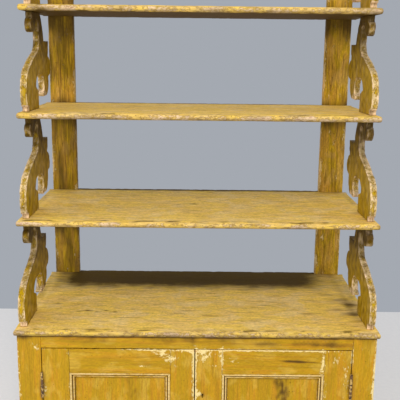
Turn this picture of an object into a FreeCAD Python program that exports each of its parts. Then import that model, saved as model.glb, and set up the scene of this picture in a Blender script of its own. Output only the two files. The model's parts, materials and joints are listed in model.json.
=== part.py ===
"""Painted pine step back cupboard with an open rack of graduated shelves.

Frame: millimetres, +Z up, the front faces -Y, +X to the viewer's right.  The origin is on
the floor, midway across the cupboard and midway from front to back.
"""
import FreeCAD, Part
import os
import re
from FreeCAD import Placement, Rotation, Vector

os.makedirs("parts", exist_ok=True)
doc = FreeCAD.newDocument("cupboard")

# ---------------------------------------------------------------- driving dimensions

SIZES = {
    # open rack: each board steps back from the one below by its own step
    "shelf_length": 1016,
    "shelf_thick": 18,
    "nose_radius": 7,
    "tier_rise": 295,
    "shelf_one_step": 70,
    "shelf_two_step": 54,
    "shelf_three_step": 63,
    "shelf_four_step": 53,
    "upright_width": 83,
    "upright_thick": 20,
    "upright_inset": 13,
    "scroll_thick": 19.5,
    "scroll_inset": 11,
    "scroll_setback": 10,
    "scroll_depth": 329,
    "scroll_clearance": 4,
    # base case
    "base_height": 540,
    "worktop_end": 2,
    "worktop_thick": 18,
    "case_inset": 7,
    "case_side_thick": 18,
    "case_bottom_thick": 18,
    "face_setback": 8,
    "face_thick": 20,
    "face_stile_width": 66,
    "face_top_width": 36,
    "face_bottom_width": 50,
    "toe_space": 60,
    "foot_arch_radius": 45,
    "back_board_thick": 14,
    "back_board_gap": 0.8,
    "inner_shelf_thick": 16,
    "inner_shelf_rise": 185,
    "inner_shelf_setback": 30,
    "cleat_thick": 18,
    "cleat_height": 22,
    # doors
    "door_gap": 2,
    "meeting_gap": 2.5,
    "meeting_shift": 6,
    "stile_width": 76,
    "left_lock_stile_width": 68,
    "door_top_width": 73,
    "door_bottom_width": 84,
    "panel_thick": 8,
    "panel_recess": 10.5,
    "groove_depth": 9,
    "groove_play": 0.3,
    "panel_play": 0.5,
    "tenon_length": 45,
    "tenon_shoulder": 10,
    "joint_play": 0.2,
    "moulding_width": 17,
    "bead_proud": 0.6,
    # butt hinges
    "hinge_length": 76,
    "hinge_from_end": 70,
    "leaf_thick": 1.5,
    "leaf_width": 16,
    "knuckle_radius": 3.5,
    "knuckle_play": 0.3,
    "hinge_pin_radius": 1.8,
    "running_play": 0.05,
    # screws and nails
    "screw_radius": 1.5,
    "screw_head_radius": 2.8,
    "screw_head_height": 1.2,
    "screw_length": 15,
    "lock_screw_length": 26,
    "nail_radius": 1.3,
    "nail_head_radius": 2.4,
    "nail_head_height": 1,
    "nail_length": 44,
    # rim lock on the right door
    "keyhole_drop": 137,
    "keyhole_inset": 21,
    "keyhole_radius": 2.6,
    "keyhole_slot_width": 2.6,
    "keyhole_slot_length": 9,
    "lock_inset": 2,
    "lock_length": 58,
    "lock_height": 60,
    "lock_thick": 14,
    "lock_wall": 2,
    "lock_screw_inset": 6,
    "lock_bolt_rise": 14,
    "lock_bolt_height": 14,
    "lock_bolt_thick": 7,
    "sliding_play": 0.3,
    # slide bolt on the left door
    "slide_plate_width": 22,
    "slide_plate_length": 92,
    "slide_plate_thick": 1.8,
    "slide_plate_inset": 1,
    "slide_bolt_radius": 3.5,
    "slide_bolt_drop": 3,
    "slide_bolt_length": 100,
    "slide_keeper_width": 13,
    "slide_keeper_height": 10,
    "slide_keeper_thick": 11,
    "slide_knob_radius": 4,
    "slide_knob_length": 13,
}

# Places worked out from the driving dimensions.  Board depths run forwards from the
# uprights' front faces.
LAYOUT = {
    "shelf_three_depth": "scroll_setback + scroll_depth + scroll_clearance",
    "shelf_four_depth": "shelf_three_depth - shelf_four_step",
    "shelf_two_depth": "shelf_three_depth + shelf_three_step",
    "shelf_one_depth": "shelf_two_depth + shelf_two_step",
    "worktop_depth": "shelf_one_depth + shelf_one_step",
    "front_y": "-(worktop_depth + upright_thick) / 2",
    "back_y": "(worktop_depth + upright_thick) / 2",
    "rack_y": "back_y - upright_thick",
    "face_y": "front_y + face_setback",
    "frame_back_y": "face_y + face_thick",
    "worktop_length": "shelf_length + 2 * worktop_end",
    "half_case": "worktop_length / 2 - case_inset",
    "side_inner": "half_case - case_side_thick",
    "opening_half": "half_case - face_stile_width",
    "upright_outer": "shelf_length / 2 - upright_inset",
    "upright_inner": "upright_outer - upright_width",
    "scroll_outer": "shelf_length / 2 - scroll_inset",
    "scroll_inner": "scroll_outer - scroll_thick",
    "worktop_low": "base_height - worktop_thick",
    "face_rail_low": "worktop_low - face_top_width",
    "sill_top": "toe_space + face_bottom_width",
    "floor_low": "sill_top - case_bottom_thick",
    "inner_shelf_low": "sill_top + inner_shelf_rise",
    "inner_shelf_front": "frame_back_y + inner_shelf_setback",
    "door_low": "sill_top + door_gap",
    "door_high": "face_rail_low - door_gap",
    "left_door_low": "-opening_half + door_gap",
    "left_door_high": "-meeting_shift - meeting_gap / 2",
    "right_door_low": "-meeting_shift + meeting_gap / 2",
    "right_door_high": "opening_half - door_gap",
    "left_panel_low": "left_door_low + stile_width",
    "left_panel_high": "left_door_high - left_lock_stile_width",
    "right_panel_low": "right_door_low + stile_width",
    "right_panel_high": "right_door_high - stile_width",
    "panel_bottom": "door_low + door_bottom_width",
    "panel_top": "door_high - door_top_width",
    "panel_front_y": "face_y + panel_recess",
    "panel_back_y": "panel_front_y + panel_thick",
    "hinge_x": "opening_half - door_gap / 2",
    "hinge_y": "face_y - knuckle_radius - knuckle_play",
    "lower_hinge_low": "door_low + hinge_from_end",
    "upper_hinge_low": "door_high - hinge_from_end - hinge_length",
    "key_x": "right_door_low + keyhole_inset",
    "key_z": "door_high - keyhole_drop",
    "lock_low_x": "right_door_low + lock_inset",
    "lock_bolt_y": "frame_back_y + lock_wall",
    "lock_bolt_z": "key_z + lock_bolt_rise",
    "slide_x": "left_door_high - slide_plate_inset - slide_plate_width / 2",
    "slide_y": "frame_back_y + slide_plate_thick + slide_bolt_radius + sliding_play",
    "slide_plate_high": "door_high - slide_bolt_drop - joint_play",
    "slide_plate_low": "slide_plate_high - slide_plate_length",
    "slide_bolt_low": "door_high - slide_bolt_drop - slide_bolt_length",
    "rack_top": "base_height + 4 * tier_rise",
}


def fill_sheet(name, cells):
    """Adds a spreadsheet with one named value a row."""
    sheet = doc.addObject("Spreadsheet::Sheet", name)
    for row, (alias, content) in enumerate(cells.items(), 1):
        sheet.set(f"A{row}", alias)
        sheet.set(f"B{row}", str(content))
        sheet.setAlias(f"B{row}", alias)
    doc.recompute()
    return sheet


SHEET_OF = dict.fromkeys(SIZES, "Sizes") | dict.fromkeys(LAYOUT, "Layout")


def linked(formula, own_sheet=None):
    """Puts the sheet's name before each alias in a formula."""
    def prefix(match):
        word = match.group(0)
        sheet = SHEET_OF.get(word)
        return word if sheet in (None, own_sheet) else f"{sheet}.{word}"

    return re.sub(r"[A-Za-z_]+", prefix, formula)


sizes_sheet = fill_sheet("Sizes", SIZES)
layout_sheet = fill_sheet(
    "Layout", {alias: "=" + linked(formula, "Layout") for alias, formula in LAYOUT.items()}
)


def value(alias):
    """Reads one named value from its sheet, as a number."""
    sheet = sizes_sheet if alias in SIZES else layout_sheet
    return float(sheet.get(alias))


# ---------------------------------------------------------------- helpers

LEFT, RIGHT = "left", "right"
SIDES = (LEFT, RIGHT)
pieces = []


def bind(obj, prop, formula):
    obj.setExpression(prop, linked(formula))


def move_to(obj, x, y, z):
    for axis, formula in zip("xyz", (x, y, z)):
        bind(obj, f"Placement.Base.{axis}", formula)


def keep(obj, label):
    """Marks an object as one of the cupboard's own pieces."""
    obj.Label = label
    pieces.append(obj)


def block(x, y, z):
    """Box between (low, high) formulas along each axis."""
    box = doc.addObject("Part::Box", "block")
    for size, (low, high) in zip(("Length", "Width", "Height"), (x, y, z)):
        bind(box, size, f"({high}) - ({low})")
    move_to(box, x[0], y[0], z[0])
    return box


TURN = {
    "+x": Rotation(Vector(0, 1, 0), 90),
    "-x": Rotation(Vector(0, 1, 0), -90),
    "+y": Rotation(Vector(1, 0, 0), -90),
    "-y": Rotation(Vector(1, 0, 0), 90),
    "+z": Rotation(),
    "-z": Rotation(Vector(1, 0, 0), 180),
}


def rod(axis, radius, length, at):
    """Round bar that runs from a start point along an axis."""
    bar = doc.addObject("Part::Cylinder", "rod")
    bind(bar, "Radius", radius)
    bind(bar, "Height", length)
    bar.Placement = Placement(Vector(), TURN[axis])
    move_to(bar, *at)
    return bar


def joined(*shapes):
    """Fuses shapes into one, or returns the only one."""
    if len(shapes) == 1:
        return shapes[0]
    fuse = doc.addObject("Part::MultiFuse", "joined")
    fuse.Shapes = list(shapes)
    return fuse


def less(base, *tools):
    """Cuts one or more shapes out of a base."""
    cut = doc.addObject("Part::Cut", "less")
    cut.Base = base
    cut.Tool = joined(*tools)
    return cut


def grouped(shapes):
    """Keeps like pieces as separate solids of one group."""
    group = doc.addObject("Part::Compound", "group")
    group.Links = list(shapes)
    return group


def across(side, inner, outer):
    """(low, high) along X for a stretch given by its distances from the middle."""
    return (inner, outer) if side == RIGHT else (f"-({outer})", f"-({inner})")


def signed(side, distance):
    return distance if side == RIGHT else f"-({distance})"


def grown(span, play):
    """A (low, high) span, widened by a play at each end."""
    return f"{span[0]} - ({play})", f"{span[1]} + ({play})"


def nail(axis, at, play="0"):
    """Flat-headed nail, driven along an axis from its head's outer face."""
    shank = rod(axis, f"nail_radius + {play}", "nail_length", at)
    head = rod(axis, f"nail_head_radius + {play}", f"nail_head_height + {play}", at)
    return joined(shank, head)


def screw(axis, at, length="screw_length", play="0"):
    """Countersunk screw, driven along an axis from its head's outer face."""
    shank = rod(axis, f"screw_radius + {play}", length, at)
    head = doc.addObject("Part::Cone", "head")
    bind(head, "Radius1", f"screw_head_radius + {play}")
    bind(head, "Radius2", f"screw_radius + {play}")
    bind(head, "Height", "screw_head_height")
    head.Placement = Placement(Vector(), TURN[axis])
    move_to(head, *at)
    return joined(shank, head)


def fasten(kind, axis, places, **options):
    """Fasteners at their places, and the holes that take them."""
    made = [kind(axis, at, **options) for at in places]
    holes = [kind(axis, at, play="running_play", **options) for at in places]
    return made, holes


def new_sketch(body, plane, edges):
    """Sketch on one of the body's origin planes, filled with finished edges."""
    sketch = body.newObject("Sketcher::SketchObject", "outline")
    origin = next(f for f in body.Origin.OriginFeatures if f.Role == plane)
    sketch.AttachmentSupport = [(origin, "")]
    sketch.MapMode = "FlatFace"
    sketch.addGeometry(edges, False)
    return sketch


def outline(start, steps):
    """Closed edges from a start point: a step is an end point, or (through, end) of an arc."""
    edges = []
    here = Vector(*start, 0)
    for step in [*steps, start]:
        if isinstance(step[0], tuple):
            through, end = (Vector(*point, 0) for point in step)
            edges.append(Part.Arc(here, through, end))
        else:
            end = Vector(*step, 0)
            edges.append(Part.LineSegment(here, end))
        here = end
    return edges


def mapped(steps, move):
    """The same steps with a function applied to both coordinates of every point."""
    return [tuple(move(*point) for point in step) if isinstance(step[0], tuple) else move(*step)
            for step in steps]


def pad(body, sketch, length):
    """Pads a sketch by a bound length."""
    feature = body.newObject("PartDesign::Pad", "pad")
    feature.Profile = sketch
    bind(feature, "Length", length)
    return feature


# ---------------------------------------------------------------- boards of the rack

SHELF_DEPTHS = ("shelf_one_depth", "shelf_two_depth", "shelf_three_depth", "shelf_four_depth")
BOARD_DEPTHS = ("worktop_depth", *SHELF_DEPTHS)
TIERS = range(1, len(BOARD_DEPTHS))
HAIR = 0.001


def level(tier):
    """Top of the board that a tier stands on: tier 1 stands on the worktop."""
    return f"(base_height + {tier - 1} * tier_rise)"


def nosed_board(length, depth, thick, top):
    """Board with rounded front and ends, rebated at the back around both uprights."""
    half = value(length) / 2
    notch = value("upright_inner")
    back = value("upright_thick")
    front = -value(depth)
    body = doc.addObject("PartDesign::Body", "board")
    ring = [(half, front), (half, 0), (notch, 0), (notch, back),
            (-notch, back), (-notch, 0), (-half, 0)]
    board = pad(body, new_sketch(body, "XY_Plane", outline((-half, front), ring)), thick)
    doc.recompute()

    def worn(edge):
        box = edge.BoundBox
        on_front = abs(box.YMax - front) < HAIR
        on_end = abs(abs(box.Center.x) - half) < HAIR and box.ZLength < HAIR
        return on_front or on_end

    nose = body.newObject("PartDesign::Fillet", "nose")
    names = [f"Edge{i}" for i, edge in enumerate(board.Shape.Edges, 1) if worn(edge)]
    nose.Base = (board, names)
    bind(nose, "Radius", "nose_radius")
    move_to(body, "0", "rack_y", f"{top} - {thick}")
    return body


# The scroll is drawn on a card: u runs backwards from the belly, v up from the board that
# it stands on.  The card is stretched to the scroll's depth and to the tier's clear height.
CARD = (329, 277)
SCROLL_START = (19, 0)
SCROLL_STEPS = [
    (19, 12), (9, 15), ((2, 32), (0, 52)), ((10, 93), (45, 123)),    # toe and belly
    (95, 145), (143, 162), ((169, 176), (180, 200)),                 # shoulder to the neck
    (179, 238), ((160, 256), (136, 240)),                            # notch behind the volute
    ((118, 221), (96, 221)), ((81, 240), (97, 260)), (96, 277),      # volute and its cove
    (198, 277), ((224, 241), (240, 197)),                            # back of the neck
    (304, 197), (303, 172), (294, 152),                              # square hook
    ((320, 137), (329, 114)), ((324, 100), (309, 93)),               # rear lobe
    (294, 88), ((289, 56), (262, 32)), (224, 31), ((213, 34), (211, 41)),
    ((227, 50), (231, 64)), ((221, 89), (190, 98)), (165, 98),       # tongue and eye
    ((133, 90), (119, 66)), (149, 52), (149, 0),                     # leg
]
# Nails in shares of the scroll's depth: two up into the leg, one down into the neck.
LEG_NAIL_SHARES = (0.15, 0.32)
NECK_NAIL_SHARE = 0.58

card_scale = (value("scroll_depth") / CARD[0],
              (value("tier_rise") - value("shelf_thick")) / CARD[1])
scroll_middle = "(scroll_inner + scroll_outer) / 2"


def from_card(u, v):
    return u * card_scale[0], v * card_scale[1]


def belly_y(tier):
    """Front of a scroll's belly, set back from the front of the board it stands on."""
    return f"rack_y - {BOARD_DEPTHS[tier - 1]} + scroll_setback"


def nail_y(tier, share):
    return f"{belly_y(tier)} + {share} * scroll_depth"


scrolls = {}
for side in SIDES:
    for tier in TIERS:
        scroll = doc.addObject("PartDesign::Body", "scroll")
        edges = outline(from_card(*SCROLL_START), mapped(SCROLL_STEPS, from_card))
        pad(scroll, new_sketch(scroll, "YZ_Plane", edges), "scroll_thick")
        low = across(side, "scroll_inner", "scroll_outer")[0]
        move_to(scroll, low, belly_y(tier), level(tier))
        scrolls[side, tier] = scroll

# Board 1 is the worktop, and board n + 1 is the shelf on top of tier n.
boards = {1: nosed_board("worktop_length", "worktop_depth", "worktop_thick", level(1))}
for tier in TIERS:
    boards[tier + 1] = nosed_board(
        "shelf_length", BOARD_DEPTHS[tier], "shelf_thick", level(tier + 1))


def thickness(number):
    return "worktop_thick" if number == 1 else "shelf_thick"


# ---------------------------------------------------------------- nails of the rack

scroll_nails = []
board_holes = {number: [] for number in boards}
for side in SIDES:
    for tier in TIERS:
        x = signed(side, scroll_middle)
        underside = f"{level(tier)} - {thickness(tier)}"
        up, up_holes = fasten(
            nail, "+z", [(x, nail_y(tier, share), underside) for share in LEG_NAIL_SHARES])
        down, down_holes = fasten(
            nail, "-z", [(x, nail_y(tier, NECK_NAIL_SHARE), level(tier + 1))])
        scroll_nails += up + down
        board_holes[tier] += up_holes
        board_holes[tier + 1] += down_holes
        keep(less(scrolls[side, tier], *up_holes, *down_holes), f"scroll_{side}_{tier}")

upright_nails = []
for side in SIDES:
    holes = []
    for number in boards:
        z = f"{level(number)} - {thickness(number)} / 2"
        for share in (0.25, 0.75):
            x = signed(side, f"(upright_inner + {share} * upright_width)")
            made, hole = fasten(nail, "-y", [(x, "back_y", z)])
            upright_nails += made
            holes += hole
            board_holes[number] += hole
    upright = block(across(side, "upright_inner", "upright_outer"),
                    ("rack_y", "back_y"), ("0", "rack_top"))
    keep(less(upright, *holes), f"upright_{side}")

for number, board in boards.items():
    name = "worktop" if number == 1 else f"shelf_{number - 1}"
    keep(less(board, *board_holes[number]), name)
keep(grouped(scroll_nails), "scroll_nails")
keep(grouped(upright_nails), "upright_nails")

# ---------------------------------------------------------------- base case

for side in SIDES:
    wall_x = across(side, "side_inner", "half_case")
    wall = block(wall_x, ("frame_back_y", "rack_y"), ("0", "worktop_low"))
    arch = rod("+x", "foot_arch_radius", "case_side_thick",
               (wall_x[0], "(frame_back_y + rack_y) / 2", "0"))
    keep(less(wall, arch), f"case_side_{side}")
    cleat = block(across(side, "side_inner - cleat_thick", "side_inner"),
                  ("inner_shelf_front", "rack_y"),
                  ("inner_shelf_low - cleat_height", "inner_shelf_low"))
    keep(cleat, f"shelf_cleat_{side}")

BACK_BOARDS = 3
board_width = f"(2 * upright_inner / {BACK_BOARDS})"
nail_rows = ("sill_top - case_bottom_thick / 2", "inner_shelf_low + inner_shelf_thick / 2")
back_nails = []
back_holes = []
for number in range(BACK_BOARDS):
    low = f"-upright_inner + {number} * {board_width}"
    places = [(f"{low} + {share} * {board_width}", "rack_y + back_board_thick", z)
              for share in (0.25, 0.75) for z in nail_rows]
    made, holes = fasten(nail, "-y", places)
    back_nails += made
    back_holes += holes
    board = block((low, f"{low} + {board_width} - back_board_gap"),
                  ("rack_y", "rack_y + back_board_thick"), ("floor_low", "worktop_low"))
    keep(less(board, *holes), f"back_board_{number + 1}")
keep(grouped(back_nails), "back_nails")

between_sides = ("-side_inner", "side_inner")
case_bottom = block(between_sides, ("frame_back_y", "rack_y"), ("floor_low", "sill_top"))
inner_shelf = block(between_sides, ("inner_shelf_front", "rack_y"),
                    ("inner_shelf_low", "inner_shelf_low + inner_shelf_thick"))
keep(less(case_bottom, *back_holes), "case_bottom")
keep(less(inner_shelf, *back_holes), "inner_shelf")

# ---------------------------------------------------------------- frames and hinges

TENON_Y = ("panel_front_y", "panel_back_y")
FRAME_Y = ("face_y", "frame_back_y")


def rail(x, z):
    """Frame rail with a tenon at each end."""
    tenons = block(grown(x, "tenon_length"), TENON_Y, grown(z, "-tenon_shoulder"))
    return joined(block(x, FRAME_Y, z), tenons)


def mortise(edge, towards, z):
    """Pocket for a rail's tenon, cut into a stile from its inner edge."""
    deep = f"{edge} {towards} (tenon_length + joint_play)"
    span = (edge, deep) if towards == "+" else (deep, edge)
    return block(span, grown(TENON_Y, "joint_play"), grown(z, "joint_play - tenon_shoulder"))


# Butt hinges: leaves let in flush, knuckles standing just proud of the face.
KNUCKLES = 5
SCREWS_PER_LEAF = 3
HINGE_LOWS = ("lower_hinge_low", "upper_hinge_low")


def leaf_x(side, on_door):
    """X stretch of a hinge leaf, let in flush with the edge that it lies on."""
    if on_door:
        return across(side, "opening_half - door_gap - leaf_thick", "opening_half - door_gap")
    return across(side, "opening_half", "opening_half + leaf_thick")


def leaf_plate(side, on_door, low):
    return block(leaf_x(side, on_door), ("face_y", "face_y + leaf_width"),
                 (low, f"{low} + hinge_length"))


def leaf(side, on_door, low, holes):
    """Hinge leaf with its own share of the knuckles, bored for the pin."""
    pitch = f"hinge_length / {KNUCKLES}"
    solids = [leaf_plate(side, on_door, low)]
    for number in range(1 if on_door else 0, KNUCKLES, 2):
        start = f"{low} + {number} * {pitch} + knuckle_play / 2"
        span = (start, f"{start} + {pitch} - knuckle_play")
        at = (signed(side, "hinge_x"), "hinge_y", start)
        solids.append(block(leaf_x(side, on_door), ("hinge_y", "face_y"), span))
        solids.append(rod("+z", "knuckle_radius", f"{pitch} - knuckle_play", at))
    bore = rod("+z", "hinge_pin_radius + running_play", "hinge_length",
               (signed(side, "hinge_x"), "hinge_y", low))
    return less(joined(*solids), bore, *holes)


def leaf_screws(side, on_door):
    """Screws of both leaves on one edge, and their holes."""
    face = signed(side, "(opening_half - door_gap)" if on_door else "opening_half")
    places = [(face, "face_y + 0.6 * leaf_width",
               f"{low} + {number + 0.5} / {SCREWS_PER_LEAF} * hinge_length")
              for low in HINGE_LOWS for number in range(SCREWS_PER_LEAF)]
    return fasten(screw, "+x" if (side == RIGHT) != on_door else "-x", places)


case_screws = []
door_screw_holes = {}
for side in SIDES:
    made, holes = leaf_screws(side, False)
    case_screws += made
    edge = signed(side, "opening_half")
    cuts = [mortise(edge, "+" if side == RIGHT else "-", z)
            for z in (("face_rail_low", "worktop_low"), ("toe_space", "sill_top"))]
    cuts += [leaf_plate(side, False, low) for low in HINGE_LOWS]
    stile = block(across(side, "opening_half", "half_case"), FRAME_Y, ("0", "worktop_low"))
    keep(less(stile, *cuts, *holes), f"face_stile_{side}")
    keep(grouped([leaf(side, False, low, holes) for low in HINGE_LOWS]), f"hinge_case_{side}")

    made, holes = leaf_screws(side, True)
    door_screw_holes[side] = holes
    keep(grouped(made), f"hinge_screws_{side}")
    keep(grouped([leaf(side, True, low, holes) for low in HINGE_LOWS]), f"hinge_door_{side}")
    pins = [rod("+z", "hinge_pin_radius", "hinge_length",
                (signed(side, "hinge_x"), "hinge_y", low)) for low in HINGE_LOWS]
    keep(grouped(pins), f"hinge_pins_{side}")
keep(grouped(case_screws), "hinge_screws_case")

opening_x = ("-opening_half", "opening_half")
keep(rail(opening_x, ("face_rail_low", "worktop_low")), "face_rail_top")
keep(rail(opening_x, ("toe_space", "sill_top")), "face_rail_bottom")

# ---------------------------------------------------------------- lock and slide bolt

lock_x = ("lock_low_x", "lock_low_x + lock_length")
lock_y = ("frame_back_y", "frame_back_y + lock_thick")
lock_z = ("key_z - lock_height / 2", "key_z + lock_height / 2")
bolt_y = ("lock_bolt_y", "lock_bolt_y + lock_bolt_thick")
bolt_z = ("lock_bolt_z - lock_bolt_height / 2", "lock_bolt_z + lock_bolt_height / 2")
bolt_end = f"{lock_x[1]} - lock_wall"
keep(block((lock_x[0], f"{bolt_end} - sliding_play"), bolt_y, bolt_z), "lock_bolt")


def keyhole(depth):
    """Round hole with a slot below it, cut from the door's face."""
    slot = block(grown(("key_x", "key_x"), "keyhole_slot_width / 2"),
                 ("face_y", f"face_y + {depth}"), ("key_z - keyhole_slot_length", "key_z"))
    return joined(rod("+y", "keyhole_radius", depth, ("key_x", "face_y", "key_z")), slot)


channel = block((lock_x[0], bolt_end), grown(bolt_y, "sliding_play"),
                grown(bolt_z, "sliding_play"))
lock_places = [(x, lock_y[1], z)
               for x in (f"{lock_x[0]} + lock_screw_inset", f"{lock_x[1]} - lock_screw_inset")
               for z in (f"{lock_z[0]} + lock_screw_inset", f"{lock_z[1]} - lock_screw_inset")]
lock_screws, lock_holes = fasten(screw, "-y", lock_places, length="lock_screw_length")
keyway = keyhole("face_thick + lock_thick - lock_wall")
keep(less(block(lock_x, lock_y, lock_z), channel, keyway, *lock_holes), "lock_case")
keep(grouped(lock_screws), "lock_screws")

plate_z = ("slide_plate_low", "slide_plate_high")
plate_y = ("frame_back_y", "frame_back_y + slide_plate_thick")
slide_middle = ("slide_x", "slide_x")
keeper_spans = ((plate_z[0], f"{plate_z[0]} + slide_keeper_height"),
                (f"{plate_z[1]} - slide_keeper_height", plate_z[1]))
plate = block(grown(slide_middle, "slide_plate_width / 2"), plate_y, plate_z)
keepers = [block(grown(slide_middle, "slide_keeper_width / 2"),
                 (plate_y[0], f"{plate_y[0]} + slide_keeper_thick"), span)
           for span in keeper_spans]
slide_bore = rod("+z", "slide_bolt_radius + joint_play", "slide_plate_length",
                 ("slide_x", "slide_y", plate_z[0]))
screw_offset = "(slide_plate_width / 2 - screw_head_radius - screw_head_height)"
slide_places = [(f"slide_x {way} {screw_offset}", plate_y[1], z) for way in "+-"
                for z in (f"{keeper_spans[0][1]} + 2 * screw_head_radius",
                          f"{keeper_spans[1][0]} - 2 * screw_head_radius")]
slide_screws, slide_holes = fasten(screw, "-y", slide_places)
keep(less(joined(plate, *keepers), slide_bore, *slide_holes), "slide_plate")
keep(grouped(slide_screws), "slide_screws")

bolt_rod = rod("+z", "slide_bolt_radius", "slide_bolt_length",
               ("slide_x", "slide_y", "slide_bolt_low"))
knob = rod("+y", "slide_knob_radius", "slide_knob_length",
           ("slide_x", "slide_y", f"({plate_z[0]} + {plate_z[1]}) / 2"))
keep(joined(bolt_rod, knob), "slide_bolt")

# ---------------------------------------------------------------- doors

# Moulding section on its own card: w runs from the frame to the panel, d back from the
# front of the outer bead.
MOULDING_CARD = (17, 11.1)
MOULDING_START = (0, 2.6)
MOULDING_STEPS = [
    ((3.2, 0), (6.4, 2.6)), (7.2, 6), (8.2, 6),            # outer bead and quirk
    ((10.9, 3.8), (13.6, 6.4)), (14.2, 8.8), (17, 10),     # inner bead and slope
]
strip_width = value("moulding_width")
strip_depth = value("panel_recess") + value("bead_proud")


def from_moulding_card(w, d):
    """A point of the section as (y, z) in a strip's own frame."""
    return d / MOULDING_CARD[1] * strip_depth - strip_depth, -w / MOULDING_CARD[0] * strip_width


def moulding_strip(length, angle, x, z):
    """Mitred strip, drawn below its long edge and turned about Y to its side."""
    body = doc.addObject("PartDesign::Body", "strip")
    half = length / 2
    ring = [(half, 0), (half - strip_width, -strip_width), (strip_width - half, -strip_width)]
    prism = pad(body, new_sketch(body, "XZ_Plane", outline((-half, 0), ring)),
                "panel_recess + bead_proud")
    doc.recompute()
    bulk = prism.Shape.Volume

    front = -2 * strip_depth
    waste = [*mapped(MOULDING_STEPS, from_moulding_card), (front, -strip_width), (front, 0)]
    pocket = body.newObject("PartDesign::Pocket", "moulded")
    pocket.Profile = new_sketch(body, "YZ_Plane", outline(from_moulding_card(*MOULDING_START), waste))
    pocket.Midplane = True
    pocket.Length = 2 * length
    doc.recompute()
    if not 0.3 * bulk < body.Shape.Volume < bulk:
        raise RuntimeError("the moulding's section was not cut")
    body.Placement = Placement(Vector(), Rotation(Vector(0, 1, 0), angle))
    move_to(body, x, "panel_front_y", z)
    return body


PANEL_Z = ("panel_bottom", "panel_top")
RAIL_Z = {"top": ("panel_top", "door_high"), "bottom": ("door_low", "panel_bottom")}
for side in SIDES:
    panel_x = (f"{side}_panel_low", f"{side}_panel_high")
    groove = block(grown(panel_x, "groove_depth"), grown(TENON_Y, "groove_play / 2"),
                   grown(PANEL_Z, "groove_depth"))
    for name, z in RAIL_Z.items():
        keep(less(rail(panel_x, z), groove), f"{side}_door_{name}_rail")

    stiles = {LEFT: ((f"{side}_door_low", panel_x[0]), panel_x[0], "-"),
              RIGHT: ((panel_x[1], f"{side}_door_high"), panel_x[1], "+")}
    for end, (span, edge, towards) in stiles.items():
        cuts = [groove] + [mortise(edge, towards, z) for z in RAIL_Z.values()]
        if end == side:
            cuts += [leaf_plate(side, True, low) for low in HINGE_LOWS] + door_screw_holes[side]
        elif side == RIGHT:
            cuts += [keyhole("face_thick"), *lock_holes]
        else:
            cuts += slide_holes
        stile = less(block(span, FRAME_Y, ("door_low", "door_high")), *cuts)
        keep(stile, f"{side}_door_{'hinge' if end == side else 'lock'}_stile")

    panel = block(grown(panel_x, "groove_depth - panel_play"), TENON_Y,
                  grown(PANEL_Z, "groove_depth - panel_play"))
    keep(panel, f"{side}_door_panel")

    wide = value(panel_x[1]) - value(panel_x[0])
    tall = value("panel_top") - value("panel_bottom")
    middle_x = f"({panel_x[0]} + {panel_x[1]}) / 2"
    middle_z = "(panel_top + panel_bottom) / 2"
    strips = [moulding_strip(wide, 0, middle_x, "panel_top"),
              moulding_strip(tall, 90, panel_x[1], middle_z),
              moulding_strip(wide, 180, middle_x, "panel_bottom"),
              moulding_strip(tall, 270, panel_x[0], middle_z)]
    keep(grouped(strips), f"{side}_door_moulding")

# ---------------------------------------------------------------- checks and export

doc.recompute()
for obj in doc.Objects:
    if {"Invalid", "Error"} & set(obj.State):
        raise RuntimeError(f"{obj.Name} ({obj.Label}) failed: {obj.State}")
for piece in pieces:
    if piece.Shape.isNull() or not piece.Shape.isValid() or not piece.Shape.Solids:
        raise RuntimeError(f"{piece.Label} has no sound shape")
for piece in pieces:
    piece.Shape.exportStep(f"parts/{piece.Label}.step")
print(len(pieces), "pieces,", sum(len(piece.Shape.Solids) for piece in pieces), "solids")
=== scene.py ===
# %% [markdown]
# # A step back cupboard in worn ochre paint
#
# The real object is a pine cupboard from a country kitchen: a shallow rack of open shelves,
# each one less deep than the board below it, stands on a low cupboard with two panelled
# doors. Sawn S-scrolls carry the shelves at their ends, and two plain boards run up the back.
# Everything has had coats of ochre oil paint, and a century of use has worn it.
#
# The measured model already holds every piece at its real size. This lesson loads it, puts
# hand-worked boards over its plain ones, and then spends most of its time on paint.

import json

import bpy
import numpy as np
from mathutils import Matrix, Vector
from mathutils.geometry import delaunay_2d_cdt

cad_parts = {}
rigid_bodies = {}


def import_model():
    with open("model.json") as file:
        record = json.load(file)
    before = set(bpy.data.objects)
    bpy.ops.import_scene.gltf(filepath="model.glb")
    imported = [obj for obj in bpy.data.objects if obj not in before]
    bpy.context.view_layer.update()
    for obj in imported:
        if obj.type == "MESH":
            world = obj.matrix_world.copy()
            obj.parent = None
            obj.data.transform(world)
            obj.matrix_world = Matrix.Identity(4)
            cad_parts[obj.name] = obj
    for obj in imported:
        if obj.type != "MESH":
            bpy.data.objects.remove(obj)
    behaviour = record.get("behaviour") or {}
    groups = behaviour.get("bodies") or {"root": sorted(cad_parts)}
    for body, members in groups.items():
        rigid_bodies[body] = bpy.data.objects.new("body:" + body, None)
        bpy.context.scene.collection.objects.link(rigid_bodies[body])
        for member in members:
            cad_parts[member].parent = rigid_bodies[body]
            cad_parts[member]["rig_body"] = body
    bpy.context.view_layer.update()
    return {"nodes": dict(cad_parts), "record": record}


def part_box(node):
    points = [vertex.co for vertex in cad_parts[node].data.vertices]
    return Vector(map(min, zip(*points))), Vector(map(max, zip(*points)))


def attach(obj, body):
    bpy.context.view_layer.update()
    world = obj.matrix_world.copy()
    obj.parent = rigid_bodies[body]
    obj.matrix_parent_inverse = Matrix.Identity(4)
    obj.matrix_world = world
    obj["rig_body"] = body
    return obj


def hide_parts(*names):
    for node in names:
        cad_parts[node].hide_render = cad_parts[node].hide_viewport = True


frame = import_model()
nodes = frame["nodes"]
finish_of = {part["node"]: part["material_slot"] for part in frame["record"]["subparts"]}

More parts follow.
